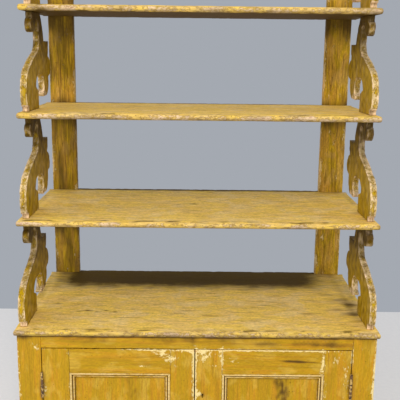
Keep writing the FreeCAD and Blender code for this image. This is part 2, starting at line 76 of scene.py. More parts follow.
# %% [markdown]
# ## Uneven by hand
#
# A hand-planed board is never flat: it has long, shallow hollows, and its corners are bruised.
# A displacement texture could do this, but the wear of the paint has to know about the same
# bumps. So one smooth random function is written in numpy, used for the shape here and for
# the chance of wear further on.

# %% A smooth random height
MM = 0.001


def ripple(points, wavelength, seed, waves=24):
    """Random height at each point, mostly from -1 to 1: the sum of sine waves with random
    directions, random phases and lengths from a third of the wavelength up to all of it,
    divided so that the spread stays the same whatever the number of waves."""
    rng = np.random.default_rng(seed)
    turns = rng.normal(size=(points.shape[1], waves))
    turns *= 2 * np.pi / (np.linalg.norm(turns, axis=0) * wavelength * rng.uniform(0.33, 1, waves))
    return np.sin(points @ turns + rng.uniform(0, 2 * np.pi, waves)).sum(1) / np.sqrt(2 * waves)


def eased(value, low, high):
    """0 below low, 1 above high and a smooth S between them: 3t² - 2t³."""
    t = np.clip((value - low) / (high - low), 0, 1)
    return t * t * (3 - 2 * t)


def patches(points, places, up=2):
    """Sum of soft patches on a face. Each place is (x, height, half width, half height,
    strength), where the height is measured along the axis called up, and its patch fades from
    the middle as exp(-distance²)."""
    x, z = points[:, 0], points[:, up]
    strength_so_far = np.zeros(len(points))
    for across, height, wide, high, strength in places:
        off = ((x - across) / wide) ** 2 + ((z - height) / high) ** 2
        strength_so_far += strength * np.exp(-off)
    return strength_so_far


# %% [markdown]
# ## Boards of any outline
#
# Shelves, scrolls, stiles and rails are all sawn from flat boards, so one recipe makes them
# all: a closed outline, a thickness, and arrises that hands and cloths have rounded. A Bevel
# modifier would round the arrises, but the flat faces would stay single polygons, and there
# would be nowhere to store how far each spot is from an edge. Here the rounded section is
# carried round the outline, and the flats are filled with a net of points.

# %% Outlines
def walk(start, steps, arc_points=8):
    """Closed outline from a start point. A step is an end point, or (through, end) of an arc:
    the centre is where both points are as far as the start is, found with complex numbers,
    and the arc becomes points at equal angles on that circle."""
    ring, here = [], complex(*start)
    for step in [*steps, start]:
        ring.append(here)
        if isinstance(step[0], tuple):
            through, end = (complex(*point) for point in step)
            ratio = (end - here) / (through - here)
            centre = here - (here - through) * (ratio - abs(ratio) ** 2) / (2j * ratio.imag)
            first, middle, last = np.angle([here - centre, through - centre, end - centre])
            turn = (last - first) % (2 * np.pi)
            if (middle - first) % (2 * np.pi) > turn:
                turn -= 2 * np.pi
            angles = first + turn * np.arange(1, arc_points) / arc_points
            ring.extend(centre + abs(here - centre) * np.exp(1j * angles))
            here = end
        else:
            here = complex(*step)
    return np.column_stack([np.real(ring), np.imag(ring)])


def anticlockwise(ring):
    """The outline in the order that keeps the wood on its left, where its area, half the sum
    of x * next y - next x * y, is positive."""
    ahead = np.roll(ring, -1, 0)
    return ring if np.sum(ring[:, 0] * ahead[:, 1] - ahead[:, 0] * ring[:, 1]) > 0 else ring[::-1]


def divided(ring, spacing):
    """The same closed outline with every run cut into equal parts no longer than the spacing."""
    run = np.roll(ring, -1, 0) - ring
    parts = np.maximum(1, np.ceil(np.linalg.norm(run, axis=1) / spacing)).astype(int)
    place = np.arange(parts.sum()) - np.repeat(np.cumsum(parts) - parts, parts)
    share = place / np.repeat(parts, parts)
    return np.repeat(ring, parts, 0) + np.repeat(run, parts, 0) * share[:, None]


def mitres(ring):
    """Way in from each corner, as long as it takes to move both its runs in by one: the sum
    of the runs' two normals over one plus their dot product."""
    run = np.roll(ring, -1, 0) - ring
    run /= np.linalg.norm(run, axis=1)[:, None]
    after = np.column_stack([-run[:, 1], run[:, 0]])
    before = np.roll(after, 1, 0)
    return (before + after) / np.maximum(1 + (before * after).sum(1), 0.5)[:, None]


def clearance(points, rings):
    """Distance from each point to the nearest run of any outline: to the nearest spot between
    the run's two ends."""
    start = np.concatenate(rings)
    run = np.concatenate([np.roll(ring, -1, 0) for ring in rings]) - start
    nearest = np.empty(len(points))
    for block in np.array_split(np.arange(len(points)), len(points) // 2000 + 1):
        off = points[block, None] - start
        share = np.clip((off * run).sum(2) / (run * run).sum(1), 0, 1)
        nearest[block] = np.linalg.norm(off - share[..., None] * run, axis=2).min(1)
    return nearest


def inside(points, rings):
    """True where a line drawn from the point to the right crosses the outlines an odd number
    of times."""
    start = np.concatenate(rings)
    end = np.concatenate([np.roll(ring, -1, 0) for ring in rings])
    level = (start[:, 1] > points[:, 1:]) != (end[:, 1] > points[:, 1:])
    rise = np.where(end[:, 1] == start[:, 1], 1, end[:, 1] - start[:, 1])
    across = start[:, 0] + (points[:, 1:] - start[:, 1]) * (end[:, 0] - start[:, 0]) / rise
    return (level & (across > points[:, :1])).sum(1) % 2 == 1


# %% A net of points over a flat face
RIM_ROWS = (1.6, 4.5)  # mm in from an outline: the end of the rounding, and of most edge wear
HONEYCOMB = 0.866  # distance between the lines of a honeycomb, as a share of its spacing


def net(rings, spacing):
    """Triangles over the space inside the outlines. Returns the points, outlines first, and
    the triangles. Two rows follow each outline closely, a honeycomb of points fills the rest,
    and triangles whose middle lies outside the outlines are dropped. A row's point stays where
    no outline is nearer than 0.85 of the row's own distance, so that rows don't cross."""
    rim = np.concatenate(rings)
    low, high = rim.min(0), rim.max(0)
    columns = np.arange(low[0], high[0], spacing)
    lines = np.arange(low[1], high[1], spacing * HONEYCOMB)
    grid = np.stack(np.meshgrid(columns, lines, indexing="ij"), -1)
    grid[:, ::2, 0] += spacing / 2
    loose = [(ring + mitres(ring) * gap, gap * 0.85) for ring in rings for gap in RIM_ROWS]
    loose.append((grid.reshape(-1, 2), RIM_ROWS[-1] + spacing * 0.6))
    points = [rim]
    for some, gap in loose:
        points.append(some[inside(some, rings) & (clearance(some, rings) > gap)])
    points = np.concatenate(points)
    edges, first = [], 0
    for ring in rings:
        order = np.arange(len(ring)) + first
        edges += zip(order.tolist(), np.roll(order, -1).tolist())
        first += len(ring)
    made = delaunay_2d_cdt([Vector(p) for p in points.tolist()], edges, [], 0, 1e-6)
    source = np.array([ids[0] for ids in made[3]])
    triangles = source[np.array(made[2])]
    return points, triangles[inside(points[triangles].mean(1), rings)]


# %% [markdown]
# ## What each spot of a board knows
#
# Paint wears off edges first, collects dirt in corners, and lies in streaks along the grain.
# So every point of a new piece carries three things for the paint to read: its place in the
# board's own wood (along, across and through the grain, moved by a random amount so that no
# two boards share a figure), how likely wear is there, and how much grime and painted shade
# there is.

# %% Put a surface into a mesh
HOLLOW_LENGTH = 160  # mm, length of the shallow hollows left by the plane
DENT, DENT_REACH = 34, 4  # mm, length of a dent along an arris, and how far in it reaches
NICK, NICK_REACH = 9, 2.5
made_pieces = {}


def put(name, points, faces, stands_for, grain_axis, wear, grime, hollow=0.35, bruise=0.0,
        arris=None):
    """Makes a mesh object from points in mm. Each point is then moved inwards along its normal
    by a shallow hollow, and near an arris by bruises where a finer random height is large.
    arris is each point's distance from the nearest arris."""
    seed = sum(ord(letter) * (place + 1) for place, letter in enumerate(name))
    mesh = bpy.data.meshes.new(name)
    mesh.from_pydata((points * MM).tolist(), [], [list(face) for face in faces])
    mesh.update()
    normals = np.empty(len(points) * 3)
    mesh.vertex_normals.foreach_get("vector", normals)
    sink = hollow * (0.55 + 0.45 * ripple(points, HOLLOW_LENGTH, seed)).clip(0.08, 1)
    if bruise:
        dents = eased(ripple(points, DENT, seed + 1), 0.15, 1.1) * np.exp(-arris / DENT_REACH)
        nicks = eased(ripple(points, NICK, seed + 2), 0.1, 1.0) * np.exp(-arris / NICK_REACH)
        sink += bruise * dents + bruise * 0.5 * nicks
    placed = points - normals.reshape(-1, 3) * sink[:, None]
    mesh.vertices.foreach_set("co", (placed * MM).ravel())
    mesh.polygons.foreach_set("use_smooth", np.ones(len(mesh.polygons), bool))
    mesh.update()
    shift = np.random.default_rng(seed).uniform(0, 3, 3)
    grain = np.roll(points, -grain_axis, 1) * MM + shift
    mesh.attributes.new("grain", "FLOAT_VECTOR", "POINT").data.foreach_set("vector", grain.ravel())
    mesh.attributes.new("wear", "FLOAT", "POINT").data.foreach_set("value", wear)
    mesh.attributes.new("grime", "FLOAT", "POINT").data.foreach_set("value", grime)
    piece = bpy.data.objects.new(name, mesh)
    bpy.context.scene.collection.objects.link(piece)
    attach(piece, nodes[stands_for]["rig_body"])
    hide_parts(stands_for)
    made_pieces[name] = piece


# %% A board with softened arrises
ROUNDING = np.radians([0, 30, 60, 90])
WALL_STEP = 6  # mm between the rows of points on a sawn edge
EDGE_REACH = 4.5  # mm over which the wear of an arris fades


def wall_faces(rows, count):
    """Faces of a closed wall of so many rows of so many points. Each joins a point and the
    next one along its row to the same two points of the row after."""
    row, column = np.meshgrid(np.arange(rows - 1), np.arange(count), indexing="ij")
    after = (column + 1) % count
    return np.stack([row * count + column, row * count + after,
                     (row + 1) * count + after, (row + 1) * count + column], -1).reshape(-1, 4)


def plate(name, stands_for, rings, span, thin, grain_axis, soften=1.2, spacing=8, wear=None,
          grime=None, edge_wear=0.5, rim_wear=0.0, flat_grime=0.0, bruise=0.6, hollow=0.35):
    """A board of any outline between two heights along its thin axis. The softened arris is a
    quarter circle: at angle a it lies r(1 - sin a) in from the outline and r(1 - cos a) from
    the face. soften, the radius r, may be a number or a function of the outline's points.
    edge_wear is added at the arrises, rim_wear on the sawn edge and flat_grime on the faces."""
    low, high = span
    rings = [divided(ring, spacing * 0.75) for ring in rings]
    radius = [np.full(len(ring), soften) if np.isscalar(soften) else soften(ring) for ring in rings]
    inset, depth = 1 - np.sin(ROUNDING), 1 - np.cos(ROUNDING)
    middle = np.linspace(0, 1, max(2, int((high - low) / WALL_STEP)) + 1)[1:-1]

    walls, points, first, rims = [], [], 0, []
    for ring, r in zip(rings, radius):
        way = mitres(ring)
        levels = [(ring + way * (share * r)[:, None], low + d * r)
                  for share, d in zip(inset, depth)]
        levels += [(ring, low + r + share * (high - low - 2 * r)) for share in middle]
        levels += [(ring + way * (share * r)[:, None], high - d * r)
                   for share, d in zip(inset[::-1], depth[::-1])]
        rims.append(levels[0][0])
        points += [np.column_stack([plan, height]) for plan, height in levels]
        count, rows = len(ring), len(levels)
        walls.append((wall_faces(rows, count) + first, first, first + (rows - 1) * count, count))
        first += rows * count

    filled, triangles = net(rims, spacing)
    fresh = filled[sum(len(ring) for ring in rings):]
    bottom = np.concatenate([start + np.arange(count) for _, start, _, count in walls]
                            + [first + np.arange(len(fresh))])
    top = np.concatenate([start + np.arange(count) for _, _, start, count in walls]
                         + [first + len(fresh) + np.arange(len(fresh))])
    points += [np.column_stack([fresh, np.full(len(fresh), height)]) for height in (low, high)]
    points = np.concatenate(points)
    faces = [face for quads, *_ in walls for face in quads.tolist()]
    faces += bottom[triangles[:, ::-1]].tolist() + top[triangles].tolist()

    off = clearance(points[:, :2], rings)
    arris = np.hypot(off, np.minimum(points[:, 2] - low, high - points[:, 2]))
    rim = eased(-off, -1.5, -0.2)
    points = np.roll(points, (thin + 1) % 3, 1)
    worn = edge_wear * np.exp(-arris / EDGE_REACH) + rim_wear * rim
    worn += wear(points) if wear else 0
    dark = (grime(points) if grime else 0) + flat_grime * (1 - rim)
    put(name, points, faces, stands_for, grain_axis, worn, dark, hollow, bruise, arris)


def corners_of(node):
    """A node's lowest and highest corners in mm."""
    return [np.array(corner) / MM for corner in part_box(node)]


def rectangle(low, high, thin):
    """Outline of a box across its thin axis, as the two other axes in turn, going round with
    the wood on its left."""
    a, b = (thin + 1) % 3, (thin + 2) % 3
    return np.array([(low[a], low[b]), (high[a], low[b]), (high[a], high[b]), (low[a], high[b])],
                    float)


def plank(node, grain_axis, low=None, high=None, **looks):
    """A plain board in the place of a node, or between two given corners in mm."""
    if low is None:
        low, high = corners_of(node)
    low, high = np.array(low, float), np.array(high, float)
    thin = int(np.argmin(high - low))
    plate(node + "_worked", node, [rectangle(low, high, thin)], (low[thin], high[thin]),
          thin, grain_axis, **looks)


# %% [markdown]
# ## Shelves and worktop
#
# The shelves are pine boards about three quarters of an inch thick. Their front edge and ends
# are rounded over like a bull nose, and the back corners are notched round the two uprights.
# The nose takes most of the knocks, so it gets the deepest bruises and is worn to pale wood.

# %% Places on the rack, in mm
UPRIGHT_INNER, RACK_Y, BACK_Y = 412, 255, 275  # the uprights' inner edges, front and back
SCROLL_X = 468  # middle of a scroll's foot, to either side
NOSE_RADIUS, SHARP_RADIUS = 6.8, 0.9
BOARD_THICK, SKIN = 18, 3  # points within the skin of the top belong to the top face


def board_ring(half, front):
    """Plan of a board: full depth between the uprights, notched where they stand."""
    return np.array([(-half, front), (half, front), (half, RACK_Y), (UPRIGHT_INNER, RACK_Y),
                     (UPRIGHT_INNER, BACK_Y), (-UPRIGHT_INNER, BACK_Y),
                     (-UPRIGHT_INNER, RACK_Y), (-half, RACK_Y)], float)


# %% Wear and grime of a board
def board_wear(board, top):
    """Wear of a board: a broad dusting on top, more towards the front, an even rub on the
    nose, and long rubbed streaks where crockery has been slid in and out."""
    seed = int(top)

    def wear(p):
        near = np.exp(-(p[:, 1] - board["front"]) / 26)
        dusting = 0.16 + 0.12 * ripple(p * (0.25, 1, 1), 120, seed) + 0.08 * near
        nose = board["nose_wear"] + 0.2 * ripple(p * (0.5, 1, 1), 60, seed + 2)
        return np.where(p[:, 2] > top - SKIN, dusting, nose) + patches(p, board["rubbed"], 1)
    return wear


def board_grime(board, top):
    """Grime and painted shade of a board. At the back a band deepens over a fade up to a wavering
    line and then runs on, weaker towards both ends: a painted shadow of the shelf above, with
    dirt in it. The nose is dirty and painted darker as shade, most in its lower half, and a
    broken line of dirt lies just behind it. A painted shade strip runs along the back behind the
    uprights' front, painted shade of the scrolls lies round their feet, stains lie here and
    there, and the underside is painted dark as shade."""
    seed, front = int(top), board["front"]

    def grime(p):
        x, y, z = p.T
        # The dark band at the back: a painted shadow of the shelf above, with dirt in it.
        waver = 3.5 * ripple(p * (0.6, 0, 0), 60, seed + 5)
        waver += 3 * ripple(p * (0.3, 1, 0), 9, seed + 8)
        along = (y + waver - board["line"] + board["fade"]) / (board["fade"] + 14)
        dirt_and_shade = board["dark"] * np.clip(along, 0, 1)
        dirt_and_shade *= eased(x, -510, -385) * (0.1 + 0.9 * eased(-x, -475, -335))
        # The nose is dirty and painted darker as shade, with more painted shade on its lower half.
        shaded_low_half = eased(-z, 7 - top, 13 - top)
        dirt_and_shade += (board["nose_dirt_and_shade"] + 0.16 * shaded_low_half) * (y < front + 6)
        behind = y - front - 11 + 4 * ripple(p * (1, 0, 0), 120, seed + 6)
        broken = eased(ripple(p * (1, 0, 0), 70, seed + 7), -0.5, 0.7)
        dirt_and_shade += 0.75 * np.exp(-(behind / 4) ** 2) * broken
        # Painted shade along the back edge, behind the uprights' front.
        dirt_and_shade += 0.45 * eased(y, RACK_Y - 9, RACK_Y + 9)
        # Painted shade of the scrolls round their feet.
        scroll_foot_shade = 0.2 * np.exp(-((np.abs(x) - SCROLL_X) / 16) ** 2) * eased(y, -240, -120)
        dirt_and_shade += (scroll_foot_shade + patches(p, board["stains_and_shade"], 1)) * (z > top - SKIN)
        # Painted shade: the underside, back from the nose, is dark.
        return dirt_and_shade + 0.95 * (z < top - BOARD_THICK + 2) * eased(y, front + 5, front + 9)
    return grime


# %% Make the five boards
# half is half the length, front the y of the front edge, line and fade place the dark band at
# the back, a painted shadow of the shelf above with dirt in it. Rubbed streaks and stains are
# (x, y, half length, half width, strength); on the worktop, the stains by the right end are
# painted shadow of the right scroll.
boards = {
    "worktop": dict(
        half=510, front=-275, line=141, fade=85, dark=0.82, nose_wear=0.34, nose_dirt_and_shade=0.33,
        rubbed=[(-300, -120, 70, 5, 0.3), (-240, -108, 30, 4, 0.3)],
        stains_and_shade=[(-352, -128, 12, 5, 0.65), (-326, -117, 13, 5, 0.65), (-298, -127, 11, 5, 0.6),
                (-272, -116, 13, 5, 0.65), (-246, -125, 11, 5, 0.6), (-425, -60, 18, 9, 0.5),
                (-372, 20, 30, 7, 0.5), (-180, 60, 26, 7, 0.5), (210, -60, 30, 6, 0.45),
                (60, 20, 22, 6, 0.5), (330, -130, 26, 7, 0.5), (-60, -170, 16, 6, 0.45),
                # These seven, by the right end, are painted shadow of the right scroll, with dirt
                # in it.
                (412, 40, 60, 16, 0.22), (436, -6, 40, 14, 0.2), (470, -52, 34, 16, 0.3),
                (428, -84, 30, 9, 0.16), (462, -128, 36, 14, 0.26), (482, -186, 22, 12, 0.3),
                (465, -60, 100, 150, 0.22)]),
    "shelf_1": dict(
        half=508, front=-205, line=236, fade=10, dark=0.35, nose_wear=0.34, nose_dirt_and_shade=0.27,
        rubbed=[(-170, 40, 60, 50, 0.15), (150, 90, 120, 30, 0.1)],
        stains_and_shade=[(-13, 38, 15, 6, 0.9), (-62, 34, 9, 6, 0.6), (42, 30, 8, 6, 0.6),
                (300, 60, 16, 6, 0.5), (-300, 120, 22, 7, 0.4), (180, -90, 20, 6, 0.4)]),
    "shelf_2": dict(
        half=508, front=-151, line=225, fade=10, dark=0.25, nose_wear=0.38, nose_dirt_and_shade=0.27,
        rubbed=[], stains_and_shade=[(-220, 60, 20, 8, 0.5), (260, 10, 26, 8, 0.5)]),
    "shelf_3": dict(half=508, front=-88, line=225, fade=10, dark=0.25, nose_wear=0.38,
                    nose_dirt_and_shade=0.27, rubbed=[], stains_and_shade=[]),
    "shelf_4": dict(half=508, front=-35, line=225, fade=10, dark=0.2, nose_wear=0.38,
                    nose_dirt_and_shade=0.27, rubbed=[], stains_and_shade=[]),
}


def nosed(board):
    """Radius of the arris at each point of a plan: the nose's along the front and the ends,
    and a sharp one where the board meets the uprights."""
    def radius(ring):
        front = ring[:, 1] < board["front"] + 1
        end = (np.abs(ring[:, 0]) > board["half"] - 1) & (ring[:, 1] < RACK_Y - 9)
        return np.where(front | end, NOSE_RADIUS, SHARP_RADIUS)
    return radius


for node, board in boards.items():
    low, high = corners_of(node)
    plate(node + "_worked", node, [board_ring(board["half"], board["front"])], (low[2], high[2]),
          2, 0, soften=nosed(board), spacing=11, wear=board_wear(board, high[2]),
          grime=board_grime(board, high[2]), edge_wear=0.12, rim_wear=0.1, bruise=1.8, hollow=0.5)
print(f"boards: {sum(len(p.data.vertices) for p in made_pieces.values())} points")

# %% [markdown]
# ## The S-scrolls
#
# Each scroll was sawn from the same cardboard template: a toe, a swelling belly, a neck with a
# small volute tucked under the shelf, a square hook and a lobe at the back, and an eye cut out
# of the middle. The saw left its front edge rough, and that edge is what hands touch first.
# The template is walked once and moved to each of the eight places.

# %% The cardboard template
# In mm from the toe, as (back, up). A pair of points is an arc through the first to the second.
CARD_HEIGHT = 277
card = anticlockwise(walk((19, 0), [
    (19, 12), (9, 15), ((2, 32), (0, 52)), ((10, 93), (45, 123)),
    (95, 145), (143, 162), ((169, 176), (180, 200)),
    (179, 238), ((160, 256), (136, 240)),
    ((118, 221), (96, 221)), ((81, 240), (97, 260)), (96, 277),
    (198, 277), ((224, 241), (240, 197)),
    (304, 197), (303, 172), (294, 152),
    ((320, 137), (329, 114)), ((324, 100), (309, 93)),
    (294, 88), ((289, 56), (262, 32)), (224, 31), ((213, 34), (211, 41)),
    ((227, 50), (231, 64)), ((221, 89), (190, 98)), (165, 98),
    ((133, 90), (119, 66)), (149, 52), (149, 0),
]))

# %% Saw the eight scrolls
BELLIES = {1: -265, 2: -195, 3: -141, 4: -78}  # y of the foremost point, tier by tier
# Hands have rubbed the front edges palest in the middle tiers and on the right.
FRONT_WEAR = {"left": {1: 0.22, 2: 0.27, 3: 0.25, 4: 0.22},
              "right": {1: 0.31, 2: 0.37, 3: 0.28, 4: 0.24}}

for side in ("left", "right"):
    for tier, belly in BELLIES.items():
        node = f"scroll_{side}_{tier}"
        low, high = corners_of(node)
        foot = low[2]

        def scroll_wear(p):
            """Bare wood on the toe and the tip of the hook, and paler towards the neck."""
            back, up = p[:, 1] - belly, p[:, 2] - foot
            toe = 1.3 * eased(-up, -18, -15) * eased(-back, -24, -20)
            hook = 0.8 * np.exp(-((back - 240) / 26) ** 2 - ((up - 34) / 14) ** 2)
            neck = 0.12 * eased(up / CARD_HEIGHT, 0.3, 0.7)
            return toe + hook + 0.05 + neck + 0.16 * ripple(p, 55, tier)

        def scroll_grime(p):
            """Grime all over, and darkening that grows with height: painted shade under the next
            shelf.
            """
            up = (p[:, 2] - foot) / CARD_HEIGHT
            return 0.26 + 0.42 * eased(up, 0.3, 1.0) + 0.12 * ripple(p, 42, tier + 9)

        plate(node + "_worked", node, [card + (belly, foot)], (low[0], high[0]), 0, 2,
              soften=1.4, spacing=7, wear=scroll_wear, grime=scroll_grime, edge_wear=0.4,
              rim_wear=FRONT_WEAR[side][tier], flat_grime=0.02, bruise=1.3, hollow=0.4)
print(f"a scroll has {len(made_pieces['scroll_left_1_worked'].data.vertices)} points")

# %% [markdown]
# ## Uprights, case and doors
#
# The cupboard is framed up from straight boards: stiles run the full height, rails are
# tenoned between them, and a thin panel floats in each door. A hairline shows at every joint,
# because wood moves. The pieces are planks between the same corners as the measured ones, and
# the rails stop at the shoulders because their tenons are out of sight.

# %% Uprights and sides
# Smoke all over, and darker or lighter bands across: (height, half height, amount). The left
# uprights are darker all over than the right as painted shade, and the dark bands just under
# each shelf are painted shadows of that shelf.
upright_smoke_and_shade = {
    "left": dict(seed=4, smoke_and_shade=0.42, shade_bands=[
        (1690, 55, 0.3), (1395, 50, 0.22), (1165, 40, -0.34), (1100, 55, 0.34), (985, 60, -0.06),
        (735, 40, 0.5)]),
    "right": dict(seed=5, smoke_and_shade=0.1, shade_bands=[
        (1690, 55, 0.5), (1395, 60, 0.62), (1258, 30, 0.2), (1160, 40, -0.1), (1100, 55, 0.62),
        (735, 36, 0.3)]),
}
ARCH_RADIUS, ARCH_Y = 45, 4  # the half round cut in the middle of each side's foot
for side, dirt_and_shade in upright_smoke_and_shade.items():
    plank(f"upright_{side}", 2, spacing=11, soften=1.5, edge_wear=0.5, bruise=1.0,
          wear=lambda p: 0.14 + 0.24 * ripple(p * (1, 1, 0.3), 36, 41),
          grime=lambda p: dirt_and_shade["smoke_and_shade"] + 0.12 * ripple(p * (1, 1, 0.3), 60, dirt_and_shade["seed"])
          + sum(dark * np.exp(-((p[:, 2] - up) / high) ** 2) for up, high, dark in dirt_and_shade["shade_bands"]))
    low, high = corners_of(f"case_side_{side}")
    angle = np.linspace(np.pi, 0, 17)
    arch = np.column_stack([ARCH_Y + ARCH_RADIUS * np.cos(angle), ARCH_RADIUS * np.sin(angle)])
    ring = np.concatenate([[(low[1], 0)], arch,
                           [(high[1], 0), (high[1], high[2]), (low[1], high[2])]])
    plate(f"case_side_{side}_worked", f"case_side_{side}", [ring], (low[0], high[0]), 0, 2,
          spacing=13, edge_wear=0.4, bruise=0.8,
          wear=lambda p: 0.05 + 0.08 * ripple(p, 130, 51) + 0.35 * np.exp(-p[:, 2] / 25),
          grime=lambda p: 0.25 * np.exp(-p[:, 2] / 60))

# %% Back and inside
for number in (1, 2, 3):
    plank(f"back_board_{number}", 2, spacing=16, edge_wear=0.2,
          grime=lambda p: 0.15 + 0.1 * ripple(p, 200, 61))
for node in ("case_bottom", "inner_shelf"):
    plank(node, 0, spacing=16, edge_wear=0.3, grime=lambda p: 0.12 + 0.12 * ripple(p, 150, 63))
for node in ("shelf_cleat_left", "shelf_cleat_right"):
    plank(node, 1, spacing=12, edge_wear=0.3)

# %% [markdown]
# ## Where the front is worn
#
# The doors tell how the cupboard was used: the top corners by the meeting edges are rubbed to
# bare wood by fingers that pulled the doors open, the upper edges are chipped where they bind,
# the left top rail has a short scratch and the right one a long dark streak in its grain.
# These places are listed in millimetres, as (x, z, half width, half height, strength).

# %% Worn and dirty places of the front, and a painted shadow under the worktop
front_wear = [
    (-462, 498, 14, 9, 0.5), (-447, 484, 9, 9, 0.75), (-428, 366, 10, 22, 0.55),
    (-500, 380, 5, 200, 0.4), (-104, 471, 26, 12, 0.62), (-84, 450, 20, 12, 0.5),
    (-62, 459, 14, 9, 0.55), (-146, 434, 17, 2.4, 1.1), (-56, 435, 8, 6, 0.5),
    (-150, 484, 62, 4, 0.75), (-40, 482, 34, 5, 0.6), (-11, 440, 6, 60, 0.55),
    (-11, 320, 6, 90, 0.4), (-35, 400, 9, 9, 0.35), (10, 480, 26, 8, 0.85),
    (18, 455, 16, 12, 0.6), (45, 436, 16, 6, 0.6), (30, 466, 22, 7, 0.5),
    (100, 484, 70, 3.5, 0.6), (215, 484, 80, 3.5, 0.65), (320, 483, 50, 3, 0.5),
    (66, 470, 6, 18, 0.5), (71, 450, 3, 40, 0.42), (355, 455, 4, 40, 0.42),
    (390, 455, 16, 14, 0.45), (420, 400, 9, 55, 0.4), (500, 390, 5, 120, 0.55),
    (436, 470, 4, 30, 0.4), (6, 352, 7, 12, 0.8), (108, 452, 30, 14, 0.3), (-3, 400, 4, 100, 0.5),
    (-360, 470, 40, 8, 0.25), (350, 420, 6, 60, 0.35), (-364, 300, 6, 100, 0.25),
    (364, 300, 6, 100, 0.25), (-220, 200, 160, 5, 0.2),
]
# The first row is a painted shadow under the worktop's overhang, along the top of the face rail and
# stiles.
front_grime = [
    (0, 522, 900, 5, 0.8), (0, 504, 900, 14, 0.2), (-300, 508, 70, 8, 0.2),
    (60, 511, 60, 6, 0.25), (290, 450, 30, 2.6, 0.62), (326, 449, 26, 2.2, 0.5),
    (254, 452, 24, 2.2, 0.5), (276, 455, 42, 8, 0.32), (380, 500, 60, 9, 0.4),
    (300, 505, 50, 6, 0.35), (-90, 512, 80, 5, 0.3), (190, 505, 30, 8, 0.3),
    (-436, 360, 9, 60, 0.55), (436, 375, 9, 60, 0.55), (-436, 230, 9, 50, 0.5),
    (436, 230, 9, 50, 0.5), (-12, 300, 5, 200, 0.35), (-150, 440, 60, 14, 0.22),
    (-260, 455, 60, 10, 0.2), (16, 347, 9, 9, 0.5), (-500, 515, 40, 6, 0.4),
]
MEETING_STILE_END = 70  # x just short of the outer edge of the right door's lock stile


def front_looks(seed):
    """Wear and grime of a front piece: the listed places, thinned by a random height so that
    no patch has a clean outline; the grime list also holds a painted shadow under the worktop.
    The right door has been wiped more, so it is a little paler."""
    return {
        "wear": lambda p: 0.02 + 0.9 * patches(p, front_wear) * (0.9 + 0.35 * ripple(p, 16, seed))
        + 0.06 * ripple(p, 70, seed + 1) + 0.1 * (p[:, 0] > MEETING_STILE_END),
        "grime": lambda p: (patches(p, front_grime) + 0.1 * ripple(p, 60, seed + 2)).clip(0, 1.2),
    }


# %% Face frame
FACE, FRAME_BACK = -267, -247  # y of the frame's front and back
STILE_INNER = 437
for side in ("left", "right"):
    plank(f"face_stile_{side}", 2, spacing=7, edge_wear=0.2, **front_looks(71))
plank("face_rail_top", 0, (-STILE_INNER, FACE, 486), (STILE_INNER, FRAME_BACK, 522),
      spacing=7, edge_wear=0.1, **front_looks(73))
plank("face_rail_bottom", 0, (-STILE_INNER, FACE, 60), (STILE_INNER, FRAME_BACK, 110),
      spacing=9, edge_wear=0.35, **front_looks(75))

# %% The lock stile with its keyhole
DOOR_LOW, PANEL_LOW, PANEL_HIGH, DOOR_HIGH = 112, 196, 411, 484
KEY_X, KEY_Z, KEY_RADIUS = 16.25, 347, 2.6
SLOT_DEPTH, SLOT_HALF = 9, 1.3


def lock_stile(node, x0, x1):
    """A stile whose outline has a second one inside it, taken clockwise: a keyhole, which is
    most of a circle and a slot below it. The long outline gets the soft arris."""
    angle = np.radians(np.linspace(-60, 240, 17))
    hole = np.column_stack([KEY_Z + KEY_RADIUS * np.sin(angle), KEY_X + KEY_RADIUS * np.cos(angle)])
    slot = [(KEY_Z - SLOT_DEPTH, KEY_X - SLOT_HALF), (KEY_Z - SLOT_DEPTH, KEY_X + SLOT_HALF)]
    hole = anticlockwise(np.concatenate([hole, slot]))[::-1]
    outer = rectangle((x0, FACE, DOOR_LOW), (x1, FRAME_BACK, DOOR_HIGH), 1)
    plate(node + "_worked", node, [outer, hole], (FACE, FRAME_BACK), 1, 2,
          soften=lambda ring: np.full(len(ring), 1.0 if len(ring) > 60 else 0.25), spacing=6,
          edge_wear=0.25, bruise=0.8, **front_looks(81))


# %% The two doors
door_stiles = {
    "left": {"hinge": (-435, -359), "lock": (-75.25, -7.25)},
    "right": {"hinge": (359, 435), "lock": (-4.75, 71.25)},
}
# One dark board in each panel: its middle, half width and strength.
panel_streak = {"left": (-188, 27, 0.35), "right": (240, 22, 0.6)}
panel_span = {}
for side, stiles in door_stiles.items():
    (_, inner_left), (inner_right, _) = sorted(stiles.values())
    panel_span[side] = (inner_left, inner_right)
    for place, (x0, x1) in stiles.items():
        node = f"{side}_door_{place}_stile"
        if node == "right_door_lock_stile":
            lock_stile(node, x0, x1)
        else:
            plank(node, 2, (x0, FACE, DOOR_LOW), (x1, FRAME_BACK, DOOR_HIGH), spacing=6,
                  edge_wear=0.25, bruise=0.8, **front_looks(83))
    plank(f"{side}_door_top_rail", 0, (inner_left, FACE, PANEL_HIGH),
          (inner_right, FRAME_BACK, DOOR_HIGH), spacing=3.4, soften=0.3 if side == "left" else 0.9,
          edge_wear=0.2, bruise=0.8, **front_looks(85))
    plank(f"{side}_door_bottom_rail", 0, (inner_left, FACE, DOOR_LOW),
          (inner_right, FRAME_BACK, PANEL_LOW), spacing=8, edge_wear=0.35, bruise=0.8,
          **front_looks(87))
    middle, half, strength = panel_streak[side]

    def panel_grime(p):
        """A dark streak up the panel that wavers from side to side and is mottled."""
        off = p[:, 0] - middle + 7 * ripple(p * (0, 0, 1), 120, 93)
        mottle = 0.75 + 0.5 * ripple(p * (1, 1, 0.25), 14, 95)
        return strength * np.exp(-(off / half) ** 4) * mottle

    plank(f"{side}_door_panel", 2, (inner_left, -256.5, PANEL_LOW),
          (inner_right, -248.5, PANEL_HIGH), spacing=6, edge_wear=0.1,
          wear=lambda p: 0.03 + 0.12 * ripple(p * (1, 1, 0.3), 50, 91), grime=panel_grime)
